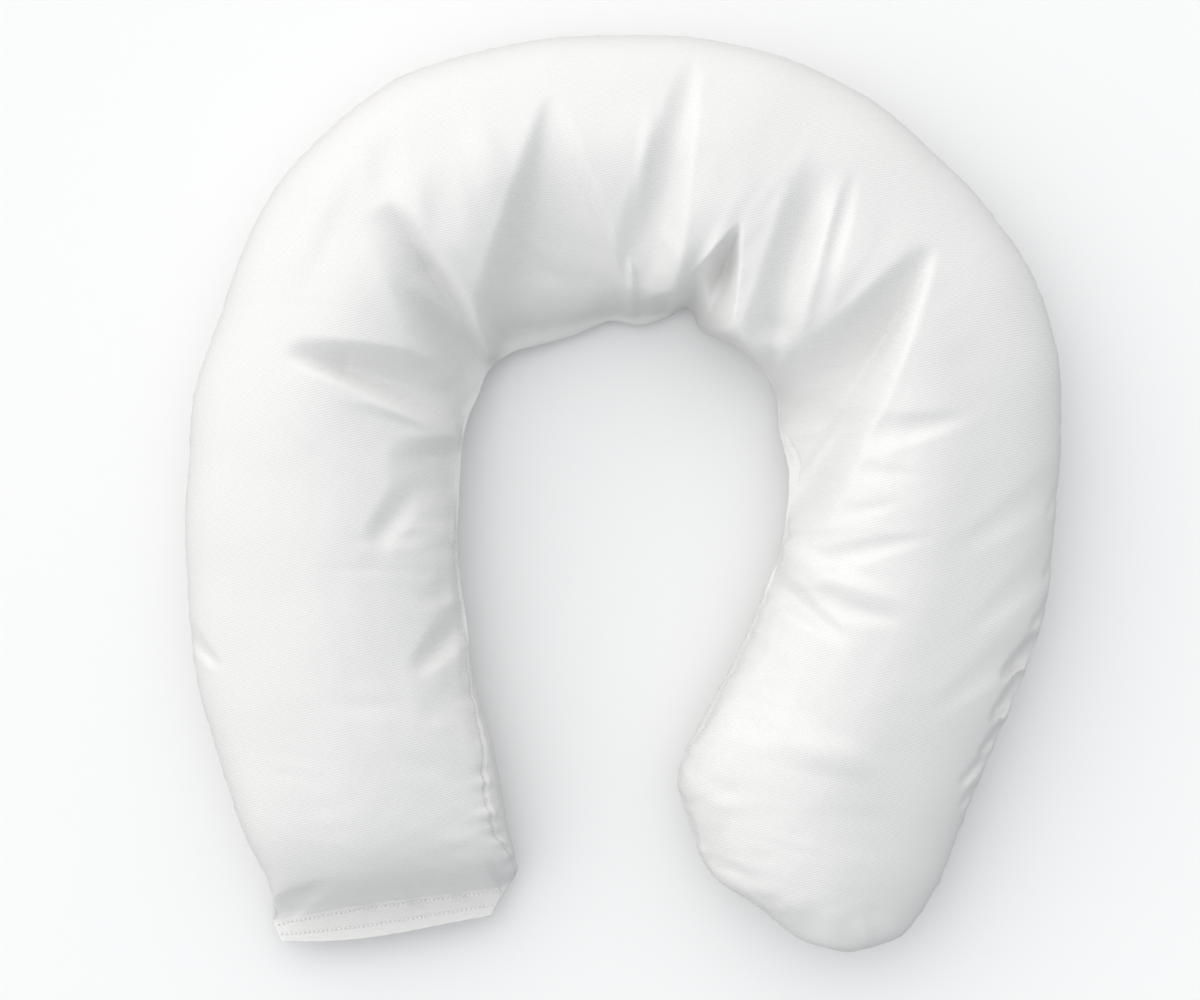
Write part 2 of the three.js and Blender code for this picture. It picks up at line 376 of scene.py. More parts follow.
def halved(grid: np.ndarray, closed: bool) -> np.ndarray:
    """Puts a point between each two of the first axis by the four-point rule: 9/16 of both, less 1/16 of the next.

    Args:
        grid: Points by their place on the first axis.
        closed: Whether the last is followed by the first.

    Returns:
        The same points with new ones between them.
    """
    if closed:
        before, after, beyond = np.roll(grid, 1, 0), np.roll(grid, -1, 0), np.roll(grid, -2, 0)
        between = (9 * (grid + after) - before - beyond) / 16
        return np.stack([grid, between], axis=1).reshape(-1, *grid.shape[1:])
    ends = np.concatenate([2 * grid[:1] - grid[1:2], grid, 2 * grid[-1:] - grid[-2:-1]])
    between = (9 * (ends[1:-2] + ends[2:-1]) - ends[:-3] - ends[3:]) / 16
    woven = np.stack([grid[:-1], between], axis=1).reshape(-1, *grid.shape[1:])
    return np.concatenate([woven, grid[-1:]])


def evened(grid: np.ndarray) -> np.ndarray:
    """Takes the finest ripples out of a tube's grid: half of each value and a quarter of both neighbours, both ways.

    Args:
        grid: Values by station, then by angle.

    Returns:
        The evened values.
    """
    grid = (2 * grid + np.roll(grid, 1, axis=1) + np.roll(grid, -1, axis=1)) / 4
    ends = np.concatenate([grid[:1], grid, grid[-1:]])
    return (2 * grid + ends[:-2] + ends[2:]) / 4


def tube_faces(
    stations: int, around: int, closing: list[list[int]] | None = None
) -> tuple[np.ndarray, list[list[int]]]:
    """Faces of a tube's grid, and those that close its two ends.

    Args:
        stations: Number of rings.
        around: Number of points in a ring.
        closing: Faces that close a ring, by their places in it; one face if none are given.

    Returns:
        The four corners of each wall face, and the corners of the closing faces.
    """
    i, j = np.meshgrid(np.arange(stations - 1), np.arange(around), indexing="ij")
    k = (j + 1) % around
    corners = np.stack([i * around + j, (i + 1) * around + j, (i + 1) * around + k, i * around + k], axis=-1)
    first = closing or [list(range(around))]
    last = [[(stations - 1) * around + corner for corner in reversed(face)] for face in first]
    return corners.reshape(-1, 4), first + last


def tube_mesh(name: str, grid: np.ndarray, closing: list[list[int]]) -> bpy.types.Mesh:
    """A smooth mesh of a closed tube.

    Args:
        name: The mesh's name.
        grid: Points by station, then by angle, in metres.
        closing: Faces that close a ring, by their places in it.

    Returns:
        The mesh.
    """
    corners, ends = tube_faces(*grid.shape[:2], closing)
    mesh = bpy.data.meshes.new(name)
    mesh.from_pydata(grid.reshape(-1, 3).tolist(), [], corners.tolist() + ends)
    mesh.shade_smooth()
    return mesh


def add_panel_map(mesh: bpy.types.Mesh, places: np.ndarray) -> None:
    """Gives a mesh the UV map that its cloth reads: each corner takes its vertex's place, in metres."""
    loops = np.empty(len(mesh.loops), np.int32)
    mesh.loops.foreach_get("vertex_index", loops)
    mesh.uv_layers.new(name=PANEL).data.foreach_set("uv", places[loops].astype(np.float32).ravel())


def placed(name: str, mesh: bpy.types.Mesh) -> bpy.types.Object:
    """An object of that mesh, in the scene at the origin."""
    piece = bpy.data.objects.new(name, mesh)
    bpy.context.scene.collection.objects.link(piece)
    return piece


@dataclass
class NodeBoard:
    """Makes and links the nodes of one material, world or group."""

    tree: bpy.types.NodeTree

    def feed(self, node: bpy.types.Node, inputs: Inputs) -> bpy.types.Node:
        """Gives a node its inputs.

        Args:
            node: The node.
            inputs: For each input, by name or number, an output to link to it or a plain value.

        Returns:
            The same node.
        """
        for key, value in inputs.items():
            if isinstance(value, bpy.types.NodeSocket):
                self.tree.links.new(value, node.inputs[key])
            else:
                node.inputs[key].default_value = value
        return node

    def add(self, kind: str, inputs: Inputs | None = None, **settings: object) -> bpy.types.Node:
        """Makes a node.

        Args:
            kind: The node's type.
            inputs: Its inputs, as for feed.
            **settings: Its fields.

        Returns:
            The node.
        """
        node = self.tree.nodes.new(kind)
        for label, value in settings.items():
            setattr(node, label, value)
        return self.feed(node, inputs or {})

    def math(self, operation: str, first: object, second: object) -> bpy.types.NodeSocket:
        """The output of a Math node of two values, each an output or a number."""
        return self.add("ShaderNodeMath", {0: first, 1: second}, operation=operation).outputs[0]

    def mixed(self, share: bpy.types.NodeSocket, first: object, second: Triple) -> bpy.types.NodeSocket:
        """A mix of two colours.

        Args:
            share: How much of the second there is.
            first: The first colour, an output or three numbers.
            second: The second colour.

        Returns:
            The mix's output.
        """
        if not isinstance(first, bpy.types.NodeSocket):
            first = (*first, 1)
        inputs = {"A": first, "B": (*second, 1), "Factor": share}
        return self.add("ShaderNodeMix", inputs, data_type="RGBA").outputs["Result"]

    def seen(self) -> bpy.types.NodeSocket:
        """An output of 1 for what the camera sees, and 0 for the light that is thrown back."""
        return self.add("ShaderNodeLightPath").outputs["Is Camera Ray"]


@dataclass(frozen=True)
class YarnEffect:
    """Diagonal ribs of twisted yarn with uneven thickness, shared by the cloth and the sewing thread.

    wander is how unevenly the ribs run, and slub_height the height of the slubs as a share of the ribs'.
    """

    name: str = "yarn_ribs"
    wander: float = 0.5
    wander_scale: float = 0.6
    detail: float = 1.0
    slub_height: float = 0.3

    def group(self) -> bpy.types.NodeTree:
        """The node group: a wave across the ribs, with noise for uneven yarn and for slubs.

        Returns:
            The group, built once.
        """
        found = bpy.data.node_groups.get(self.name)
        if found:
            return found
        tree = bpy.data.node_groups.new(self.name, "ShaderNodeTree")
        sockets = (
            ("Vector", "INPUT", "NodeSocketVector"),
            ("Ribs", "INPUT", "NodeSocketFloat"),
            ("Slubs", "INPUT", "NodeSocketFloat"),
            ("Height", "OUTPUT", "NodeSocketFloat"),
            ("Unevenness", "OUTPUT", "NodeSocketFloat"),
        )
        for label, direction, kind in sockets:
            tree.interface.new_socket(name=label, in_out=direction, socket_type=kind)
        board = NodeBoard(tree)
        given = board.add("NodeGroupInput").outputs
        ribs = {
            "Vector": given["Vector"],
            "Scale": given["Ribs"],
            "Distortion": self.wander,
            "Detail": self.detail,
            "Detail Scale": self.wander_scale,
        }
        noise = {"Vector": given["Vector"], "Scale": given["Slubs"], "Detail": self.detail}
        wave = board.add("ShaderNodeTexWave", ribs, wave_type="BANDS", bands_direction="Y").outputs["Fac"]
        slubs = board.add("ShaderNodeTexNoise", noise).outputs["Fac"]
        height = board.math("ADD", wave, board.math("MULTIPLY", slubs, self.slub_height))
        board.add("NodeGroupOutput", {"Height": height, "Unevenness": slubs})
        return tree


@dataclass(frozen=True)
class CottonFinish:
    """White cotton: its two close tones, its gloss, its ribs and slubs per metre and its relief in metres."""

    name: str
    light: Triple
    shade: Triple
    roughness: Pair
    ribs: float
    slant: float
    slubs: float
    relief: float
    bump: float = 0.5
    sheen: float = 0.1
    sheen_roughness: float = 0.4
    specular: float = 0.45
    yarn: YarnEffect = YarnEffect()

    def material(self) -> bpy.types.Material:
        """The material, on the piece's own UV map in metres.

        Returns:
            A material of yarn ribs, close tones and a soft sheen.
        """
        material = bpy.data.materials.new(self.name)
        material.use_nodes = True
        board = NodeBoard(material.node_tree)
        place = board.add("ShaderNodeUVMap", uv_map=PANEL).outputs["UV"]
        slanted = board.add("ShaderNodeMapping", {"Vector": place, "Rotation": (0, 0, self.slant)}).outputs["Vector"]
        weave = {"Vector": slanted, "Ribs": self.ribs, "Slubs": self.slubs}
        yarn = board.add("ShaderNodeGroup", node_tree=self.yarn.group())
        made = board.feed(yarn, weave).outputs
        relief = {"Height": made["Height"], "Strength": self.bump, "Distance": self.relief}
        gloss = {
            "Value": made["Height"],
            "From Max": 1 + self.yarn.slub_height,
            "To Min": self.roughness[1],
            "To Max": self.roughness[0],
        }
        surface = {
            "Base Color": board.mixed(made["Unevenness"], self.shade, self.light),
            "Roughness": board.add("ShaderNodeMapRange", gloss).outputs["Result"],
            "Normal": board.add("ShaderNodeBump", relief).outputs["Normal"],
            "Sheen Weight": self.sheen,
            "Sheen Roughness": self.sheen_roughness,
            "Specular IOR Level": self.specular,
        }
        board.feed(material.node_tree.nodes["Principled BSDF"], surface)
        return material


TWILL = CottonFinish(
    name="white_cotton_twill",
    light=(0.835, 0.832, 0.82),
    shade=(0.815, 0.813, 0.802),
    roughness=(0.4, 0.5),
    ribs=185.0,
    slant=math.radians(-14),
    slubs=260.0,
    relief=0.00016,
)
THREAD = CottonFinish(
    name="white_sewing_thread",
    light=(0.95, 0.945, 0.935),
    shade=(0.91, 0.905, 0.895),
    roughness=(0.38, 0.5),
    ribs=420.0,
    slant=math.radians(35),
    slubs=700.0,
    relief=0.0001,
)


@dataclass
class RollCasing:
    """The filled casing: two panels sewn round the outline, gathered in the bend and closed by the hem.

    Sizes are in millimetres. A share along the roll goes from 0 at the hem to 1 at the blunt end, and angles go
    round a section from the inner edge over the crown. A pair is where a change begins and where it is complete.
    """

    # Steps of the mesh, before it is halved both ways
    steps_per_section: int = 9
    steps_inner: int = 36
    steps_outer: int = 22
    steps_under: int = 13
    # Form of the sections, as laid
    equator: float = 0.45
    under_bulge: float = 2.4
    hem_bow: Pair = (5.0, -3.0)
    bow_skew: float = 1.4
    # Depth of the folds
    begun: float = 0.2
    room: float = 0.85
    ridge_base: float = 12.0
    # The cloth while it settles
    surplus: float = 0.13
    free_above: Pair = (85.0, 150.0)
    free_below: Pair = (310.0, 352.0)
    held_hem: Pair = (0.05, 0.09)
    held_end: Pair = (0.93, 0.96)
    frames: int = 20
    quality: int = 5
    pressure: float = 15.0
    tension: float = 5.0
    bending: float = 20.0
    mass: float = 0.002
    damping: float = 0.1
    drag: float = 0.5
    cap: float = 12.0
    calm: int = 2
    # Filling and wrinkles: a wrinkle's height is given for a width of 10, and its columns are shares of the upper side
    lumps: int = 14
    lump_lengths: Pair = (45.0, 130.0)
    lump_height: float = 0.22
    lumps_from: Pair = (0.03, 0.08)
    wrinkles: int = 150
    wrinkle_stations: Pair = (0.1, 0.95)
    wrinkle_columns: Triple = (0.03, 0.12, 0.75)
    wrinkle_turn: float = 0.4
    wrinkle_lengths: Pair = (14.0, 34.0)
    wrinkle_widths: Pair = (7.0, 14.0)
    wrinkle_heights: Pair = (0.15, 0.42)
    wrinkles_above: Pair = (2.0, 14.0)
    seed: int = 11
    # Seams: the inner one rises where the lower panel shows, as centre, width and rise in degrees. A pull is how
    # tightly a seam is drawn, and by the hem the inner one has one more, with its centre and width.
    inner_seam: float = 7.0
    seam_rises: tuple[Triple, ...] = ((0.15, 0.045, 19.0), (0.685, 0.02, 16.0))
    outer_seam: float = 186.0
    inner_pull: float = 0.7
    outer_pull: float = 0.9
    hem_pull: Pair = (0.14, 0.05)
    seam_starts: Pair = (0.03, 0.07)
    seam_stops: Pair = (0.92, 0.97)
    seam_hides: Pair = (0.31, 0.36)
    seam_shows: Pair = (0.62, 0.66)
    hidden_loss: float = 0.85
    seam_depth: float = 1.8
    seam_width: float = 1.6
    seam_clear: Pair = (3.0, 7.0)
    pucker_reach: float = 9.0
    pucker_lengths: Triple = (13.0, 19.0, 31.0)
    pucker_wander: float = 2.5
    wander_length: float = 170.0
    lip_steps: int = 5
    # Made while it is built
    shift: np.ndarray = field(init=False, repr=False)
    grid: np.ndarray = field(init=False, repr=False)
    piece: bpy.types.Object = field(init=False, repr=False)

    def angles(self) -> np.ndarray:
        """Angles of a ring, from the inner edge over the crown to the outer edge and back underneath."""
        quarter = math.pi / 2
        return np.concatenate(
            [
                np.linspace(0, quarter, self.steps_inner, endpoint=False),
                np.linspace(quarter, 2 * quarter, self.steps_outer, endpoint=False),
                np.linspace(2 * quarter, 4 * quarter, self.steps_under, endpoint=False),
            ]
        )

    def marks(self, around: int) -> tuple[int, int]:
        """The columns of the crown and of the outer edge, in rings of that many points."""
        scale = around // len(self.angles())
        return scale * self.steps_inner, scale * (self.steps_inner + self.steps_outer)

    def closing(self, around: int) -> list[list[int]]:
        """Faces that close a ring: each joins a step of the underside to the steps above it.

        Args:
            around: Number of points in the ring.

        Returns:
            The corners of each face, by their places in the ring.
        """
        crown, edge = self.marks(around)
        mirrored = np.linspace(math.pi, 0, around - edge + 1)
        above = np.round(np.interp(mirrored, (0, math.pi / 2, math.pi), (0, crown, edge))).astype(int)
        faces = []
        for step in range(around - edge):
            face = [*range(above[step + 1], above[step] + 1), edge + step, edge + step + 1]
            faces.append(list(dict.fromkeys(int(corner) % around for corner in face)))
        return faces

    def stations(self) -> np.ndarray:
        """The section table along the roll, one row for each station: inner, outer, then the other sizes."""
        share = np.linspace(0, 1, (len(SECTIONS) - 1) * self.steps_per_section + 1)
        rows = [(*row.inner, *row.outer, *astuple(row)[2:]) for row in SECTIONS]
        return curve_through(np.array(rows, float), share)

    def laid(self) -> np.ndarray:
        """The casing as it is laid, before its gathers.

        At angle v the place across is x = cos v, from 1 at the inner edge to -1 at the outer one. The height above
        the widest line is the crown's times a roof, 1 - pitch times the rounded |x|, which is (x^2 + soft^2)^(1/2)
        less soft, times a wall, (1 - |x|^wall)^(1/2). Below it is the keel's times (1 - |x|^2.4)^(1/2), or a higher
        power at the hem. The hem is bowed by a half wave, and the floor flattens the underside.

        Returns:
            Points by station, then by angle.
        """
        table = self.stations()
        inner, outer = table[:, None, 0:2], table[:, None, 2:4]
        crown, keel, in_pitch, out_pitch, soft, in_wall, out_wall, crest, in_rise = table[:, 4:].T[..., None]
        angle = self.angles()[None, :]
        side = np.cos(angle)
        across = np.abs(side)
        slope = (np.hypot(across, soft) - soft) / (np.hypot(1, soft) - soft)
        roof = 1 - np.where(side > 0, in_pitch, out_pitch) * slope
        wall = np.sqrt(np.maximum(1 - across ** np.where(side > 0, in_wall, out_wall), 0))
        bulge = np.maximum(self.under_bulge, np.minimum(in_wall, out_wall) / 2)
        lower = np.sqrt(np.maximum(1 - across**bulge, 0))
        middle = keel + (crown - keel) * np.where(side > 0, in_rise, self.equator)
        height = np.where(np.sin(angle) > 0, (crown - middle) * roof * wall, (keel - middle) * lower)
        share = ((1 - side) / 2) ** (np.log(crest) / np.log(0.5))
        plan = inner + (outer - inner) * share[..., None]
        plan = plan + self.bowed(share)[..., None] * unit(np.array((1, -1)) * (inner - outer)[0, 0, ::-1])
        grid = np.concatenate([plan, (middle + height)[..., None]], axis=2)
        low, high = grid[..., :2].min((0, 1)), grid[..., :2].max((0, 1))
        self.shift = (low + high) / 2
        grid[..., 2] = np.maximum(grid[..., 2], 0)
        return grid

    def bowed(self, share: np.ndarray) -> np.ndarray:
        """How far the hem and its root are bowed outwards: a half wave across the roll, gone by the fifth section.

        Args:
            share: The share of the width, from the inner edge, of each point.

        Returns:
            The distance at each point.
        """
        edge, root = self.hem_bow
        section = np.linspace(0, len(SECTIONS) - 1, len(share))
        depth = np.interp(section, (0, 1, 2, 4), (edge, root, root / 2, 0))
        return depth[:, None] * np.sin(math.pi * share**self.bow_skew)

    def above(self, grid: np.ndarray) -> np.ndarray:
        """Each upper point's height above the widest line of its section, and 0 on the underside."""
        around = grid.shape[1]
        _, edge = self.marks(around)
        across = (1 + np.cos(np.linspace(0, math.pi, edge)))[None, :] / 2
        across = np.pad(across, ((0, 0), (0, around - edge)))
        line = grid[:, :1, 2] * across + grid[:, edge, None, 2] * (1 - across)
        return np.where(np.arange(around)[None, :] < edge, np.maximum(grid[..., 2] - line, 0), 0)

    def folded(self, grid: np.ndarray, kind: FoldKind, part: float = 1.0) -> np.ndarray:
        """Lowers the upper side by the folds of one kind.

        Drops of several folds join as the cube root of the sum of their cubes, so that neighbours meet in a ridge.
        A drop d over a room h becomes d / (1 + (d / h)^3)^(1/3), so that nothing sinks below the widest line.

        Args:
            grid: Points by station, then by angle.
            kind: Which folds.
            part: The share of their depth.

        Returns:
            The lowered points.
        """
        x, y = grid[..., 0], grid[..., 1]
        above = self.above(grid)
        drops = np.array([fold.drop(x, y) for fold in FOLDS if fold.kind is kind])
        drop = part * (np.cbrt((np.maximum(drops, 0) ** 3).sum(axis=0)) + np.minimum(drops, 0).sum(axis=0))
        room = np.maximum(self.room * above, TINY)
        down = np.maximum(drop, 0)
        raised = drop * eased(above, 0, self.ridge_base)
        result = grid.copy()
        result[..., 2] -= np.where(drop > 0, down / np.cbrt(1 + (down / room) ** 3), raised)
        return result

    def as_cut(self, grid: np.ndarray) -> np.ndarray:
        """The same sections on a straighter line, so that the cloth of the inner side is longer than it is laid.

        The turning of the outer edge is eased by the surplus, and each section turns with it about its outer edge.

        Args:
            grid: The casing as it is laid.

        Returns:
            The casing as it was cut.
        """
        outer = self.stations()[:, 2:4]
        step = np.diff(outer, axis=0)
        heading = np.unwrap(np.arctan2(step[:, 1], step[:, 0]))
        turn = (heading[len(heading) // 2] - heading) * self.surplus
        hinge = np.vstack([np.zeros(2), np.cumsum(turned(step, turn), axis=0)]) + outer[0]
        at = np.concatenate([turn[:1], (turn[1:] + turn[:-1]) / 2, turn[-1:]])
        cut = grid.copy()
        cut[..., :2] = hinge[:, None] + turned(grid[..., :2] - outer[:, None], at[:, None])
        return cut

    def held(self, grid: np.ndarray) -> np.ndarray:
        """How firmly each point is held while the cloth settles, from 0, free, to 1.

        The underside, what lies on the floor, the outer half and both ends are held; the inner side is free.

        Args:
            grid: The casing as it is laid.

        Returns:
            One share for each point.
        """
        angle = np.degrees(self.angles())[None, :] + 0 * grid[..., 2]
        share = np.linspace(0, 1, len(grid))[:, None]
        firm = np.where(angle > 180, 1 - eased(angle, *self.free_below), eased(angle, *self.free_above))
        firm = np.maximum(firm, 1 - eased(share, *self.held_hem))
        firm = np.maximum(firm, eased(share, *self.held_end))
        return np.maximum(firm, grid[..., 2] <= 0)

    def settled(self, grid: np.ndarray) -> np.ndarray:
        """Lets the surplus cloth buckle under the filling's pressure, by a cloth simulation.

        Args:
            grid: The casing as it is laid.

        Returns:
            The casing at rest, with no point moved further than the cap.
        """
        name = "casing_as_cut"
        mesh = tube_mesh(name, grid * MM, self.closing(grid.shape[1]))
        piece = placed(name, mesh)
        piece.shape_key_add(name="as_laid")
        cut = piece.shape_key_add(name="as_cut")
        cut.data.foreach_set("co", (self.as_cut(grid) * MM).ravel())
        hold = piece.vertex_groups.new(name="held")
        firm = np.round(self.held(grid).ravel(), 2)
        for level in np.unique(firm[firm > 0]):
            hold.add(np.flatnonzero(firm == level).tolist(), float(level), "REPLACE")
        cloth = piece.modifiers.new("settle", "CLOTH")
        settings = cloth.settings
        settings.quality = self.quality
        settings.mass = self.mass
        settings.tension_stiffness = settings.compression_stiffness = self.tension
        settings.shear_stiffness = self.tension / 3
        settings.bending_stiffness = self.bending
        settings.tension_damping = settings.compression_damping = settings.shear_damping = self.damping
        settings.air_damping = self.drag
        settings.use_pressure = True
        settings.uniform_pressure_force = self.pressure
        settings.effector_weights.gravity = 0
        settings.vertex_group_mass = hold.name
        settings.rest_shape_key = cut
        cloth.point_cache.frame_start, cloth.point_cache.frame_end = 1, self.frames
        for number in range(1, self.frames + 1):
            bpy.context.scene.frame_set(number)
        evaluated = piece.evaluated_get(bpy.context.evaluated_depsgraph_get())
        moved = np.empty(grid.size)
        evaluated.data.vertices.foreach_get("co", moved)
        moved = moved.reshape(grid.shape) / MM - grid
        bpy.data.objects.remove(piece)
        bpy.data.meshes.remove(mesh)
        bpy.context.scene.frame_set(1)
        for _ in range(self.calm):
            moved = evened(moved)
        length = np.linalg.norm(moved, axis=2, keepdims=True)
        rest = grid + moved * (self.cap * np.tanh(length / self.cap) / np.maximum(length, TINY))
        rest[..., 2] = np.maximum(rest[..., 2], 0)
        LOG.info("casing settled, furthest move %.1f mm", float(length.max()))
        return rest

    def lumpy(self, grid: np.ndarray) -> np.ndarray:
        """Slight unevenness of the filling: a sum of waves of random direction and length, the longest the highest.

        Args:
            grid: The casing at its final density.

        Returns:
            The uneven casing.
        """
        random = np.random.default_rng(self.seed + 1)
        turn = random.uniform(0, TURN, self.lumps)
        length = random.uniform(*self.lump_lengths, self.lumps)
        phase = random.uniform(0, TURN, self.lumps)
        across = grid[..., 0, None] * np.cos(turn) + grid[..., 1, None] * np.sin(turn)
        wave = (np.sin(TURN * across / length + phase) * length / self.lump_lengths[1]).sum(axis=2)
        off_hem = eased(np.linspace(0, 1, len(grid))[:, None], *self.lumps_from)
        height = self.lump_height * wave * off_hem * (grid[..., 2] > 0)
        return grid + normals_of(grid) * height[..., None]

    def wrinkled(self, grid: np.ndarray) -> np.ndarray:
        """Fine wrinkles of the slack cloth, strewn over the upper side and turned roughly across the roll.

        Each is a short wave: height times e^(-(s / length)^2 - (a / width)^2) cos(pi a / width + phase), with s the
        distance along it and a the distance aside.

        Args:
            grid: The casing at its final density.

        Returns:
            The wrinkled casing.
        """
        random = np.random.default_rng(self.seed + 2)
        _, edge = self.marks(grid.shape[1])
        count = self.wrinkles
        station = random.uniform(*self.wrinkle_stations, count) * (len(grid) - 1)
        column = random.triangular(*self.wrinkle_columns, count) * edge
        turn = random.normal(0, self.wrinkle_turn, count)
        length = random.uniform(*self.wrinkle_lengths, count)
        width = random.uniform(*self.wrinkle_widths, count)
        height = random.uniform(*self.wrinkle_heights, count) * width / 10
        phase = random.uniform(0, TURN, count)
        total = np.zeros(grid.shape[:2])
        across = grid[:, edge, :2] - grid[:, 0, :2]
        for number in range(count):
            row = int(station[number])
            way = math.atan2(across[row, 1], across[row, 0]) + turn[number]
            away = grid[..., :2] - grid[row, int(column[number]), :2]
            along = away[..., 0] * math.cos(way) + away[..., 1] * math.sin(way)
            aside = away[..., 1] * math.cos(way) - away[..., 0] * math.sin(way)
            reach = np.exp(-((along / length[number]) ** 2) - (aside / width[number]) ** 2)
            total += height[number] * reach * np.cos(math.pi * aside / width[number] + phase[number])
        return grid + normals_of(grid) * (total * eased(self.above(grid), *self.wrinkles_above))[..., None]

    def seams(self, grid: np.ndarray) -> list[tuple[np.ndarray, np.ndarray, np.ndarray]]:
        """The inner and the outer seam, along the roll.

        The inner one lies low, is hidden under the gathers of the bend and is drawn tightest by the hem.

        Args:
            grid: The casing at its final density.

        Returns:
            For each seam its angle, the distance along it and how tightly it is drawn, at each station.
        """
        share = np.linspace(0, 1, len(grid))
        _, edge = self.marks(grid.shape[1])
        angle = self.inner_seam
        for centre, width, rise in self.seam_rises:
            angle = angle + rise * hump(share - centre, width)
        full = eased(share, *self.seam_starts) * (1 - eased(share, *self.seam_stops))
        hidden = eased(share, *self.seam_hides) * (1 - eased(share, *self.seam_shows))
        centre, width = self.hem_pull
        inner = self.inner_pull * (full - self.hidden_loss * hidden) + hump(share - centre, width)
        outer = np.full(len(grid), math.radians(self.outer_seam))
        return [
            (np.radians(angle), travelled(grid[:, 0]), inner),
            (outer, travelled(grid[:, edge]), self.outer_pull * full),
        ]

    def sewn(self, grid: np.ndarray) -> np.ndarray:
        """Draws in the two long seams and puckers the cloth beside them.

        The groove is depth times e^(-(a / width)^2), with a the distance round the section from the seam. Puckers
        are a wave along the seam, with an uneven length, that dies out in e^(-(a / reach)^2). Both fade out where
        the cloth is folded flat onto the edge. The first steps above the inner edge then run straight, so that no
        face turns over there.

        Args:
            grid: The casing at its final density.

        Returns:
            The sewn casing.
        """
        stations, around = grid.shape[:2]
        rows, columns = np.arange(stations), np.arange(around)
        angle = np.interp(columns / 2, np.arange(around / 2 + 1), [*self.angles(), TURN])
        arc = ring_arcs(grid)
        total, arc = arc[:, -1:], arc[:, :-1]
        random = np.random.default_rng(self.seed)
        normal = normals_of(grid)
        result = grid.copy()
        for seam, distance, drawn in self.seams(grid):
            place = np.interp(seam, angle, columns)
            index = np.minimum(place.astype(int), around - 2)
            at = arc[rows, index] + (arc[rows, index + 1] - arc[rows, index]) * (place - index)
            strength = drawn * eased(at, *self.seam_clear)
            off = np.abs(arc - at[:, None])
            off = np.minimum(off, total - off)
            groove = self.seam_depth * hump(off, self.seam_width)
            wave = np.zeros(stations)
            for length in self.pucker_lengths:
                phase = random.uniform(0, TURN)
                drift = np.sin(TURN * distance / self.wander_length + random.uniform(0, TURN))
                wave += np.sin(TURN * distance / length + self.pucker_wander * drift + phase)
            pucker = wave[:, None] / 2 * hump(off, self.pucker_reach)
            result += normal * ((pucker - groove) * strength[:, None])[..., None]
        lip = self.lip_steps
        share = np.arange(1, lip) / lip
        result[:, 1:lip] = result[:, :1] + (result[:, [lip]] - result[:, :1]) * share[:, None]
        return result

    def flat_places(self, grid: np.ndarray) -> np.ndarray:
        """Each point's place on its flat panel: its crown's place, and from there its distance round the section.

        Args:
            grid: The casing in metres.

        Returns:
            Two coordinates for each point, in metres.
        """
        around = grid.shape[1]
        crown, edge = self.marks(around)
        arc = ring_arcs(grid)
        signed = arc[:, :-1] - arc[:, crown : crown + 1]
        beneath = np.arange(around) > around - self.steps_under
        signed = np.where(beneath[None, :], signed - arc[:, -1:], signed)
        outward = unit(grid[:, edge, :2] - grid[:, 0, :2])
        return grid[:, crown, None, :2] + signed[..., None] * outward[:, None]

    def shaped(self) -> np.ndarray:
        """The casing's form: laid, settled with its gathers begun, made finer, gathered, creased and sewn.

        Returns:
            Points by station, then by angle, in metres.
        """
        grid = self.folded(self.laid(), FoldKind.GATHER, self.begun)
        grid = self.settled(grid)
        grid = halved(grid, closed=False)
        grid = halved(grid.transpose(1, 0, 2), closed=True).transpose(1, 0, 2)
        grid = self.folded(grid, FoldKind.GATHER, 1 - self.begun)
        grid = self.folded(grid, FoldKind.CREASE)
        grid = self.sewn(self.wrinkled(self.lumpy(grid)))
        grid[..., :2] -= self.shift
        grid[..., 2] = np.maximum(grid[..., 2], 0)
        return grid * MM

    def build(self) -> bpy.types.Object:
        """Makes the casing's mesh, with the places of its flat panels as a UV map.

        Returns:
            The casing's object.
        """
        self.grid = self.shaped()
        mesh = tube_mesh("casing", self.grid, self.closing(self.grid.shape[1]))
        add_panel_map(mesh, self.flat_places(self.grid).reshape(-1, 2))
        self.piece = placed("casing", mesh)
        return self.piece

    def dress(self) -> None:
        """Gives the casing its cloth and says what it stands for."""
        self.piece.data.materials.append(TWILL.material())
        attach(self.piece, BODY)
        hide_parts("roll_pillow")
        LOG.info("casing: %d faces", len(self.piece.data.polygons))


class StitchRow(Enum):
    """The hem's rows of stitches, by their place from its free edge to its root."""

    LOWER = 0.36
    UPPER = 0.88


